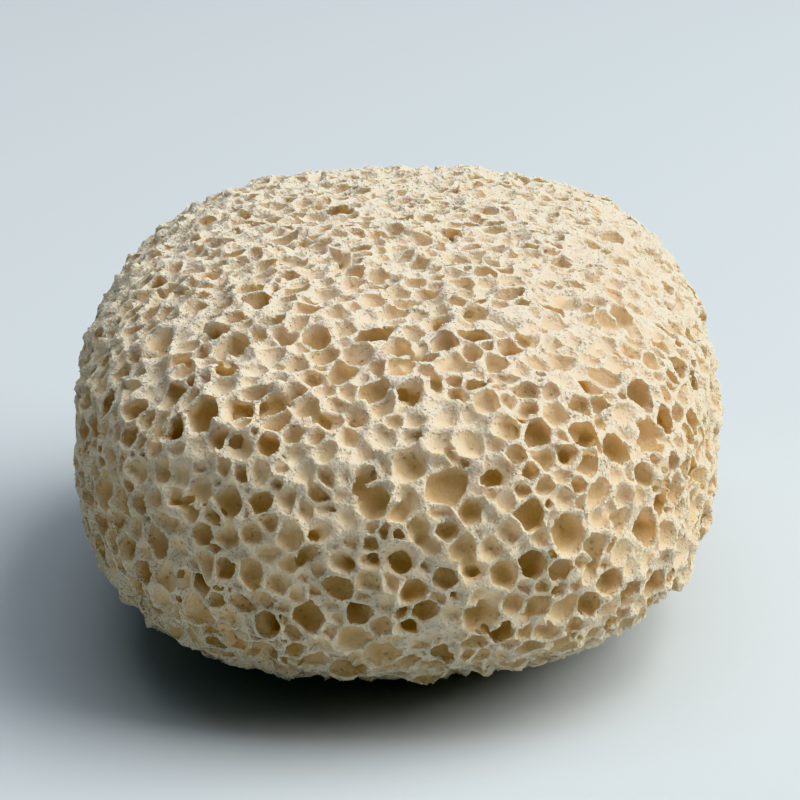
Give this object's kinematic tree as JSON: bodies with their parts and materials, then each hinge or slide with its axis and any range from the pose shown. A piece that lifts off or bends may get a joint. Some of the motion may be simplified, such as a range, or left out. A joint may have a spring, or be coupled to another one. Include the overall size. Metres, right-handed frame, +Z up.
{
  "type": "pumice stone",
  "caption": "Cream block of frothy pumice, rounded on all sides and pitted all over with open bubbles; lies flat on its underside.",
  "frame": {"origin": "under the middle of the stone, on the surface that it lies on", "axes": "+Y along the stone's length, away from the end that is seen first; +X across its width; +Z up through its thickness"},
  "size_m": [0.0603, 0.094, 0.0372],
  "materials": {
    "pumice": "matte"
  },
  "bodies": {
    "root": {"pumice_stone": "pumice"}
  },
  "joints": []
}
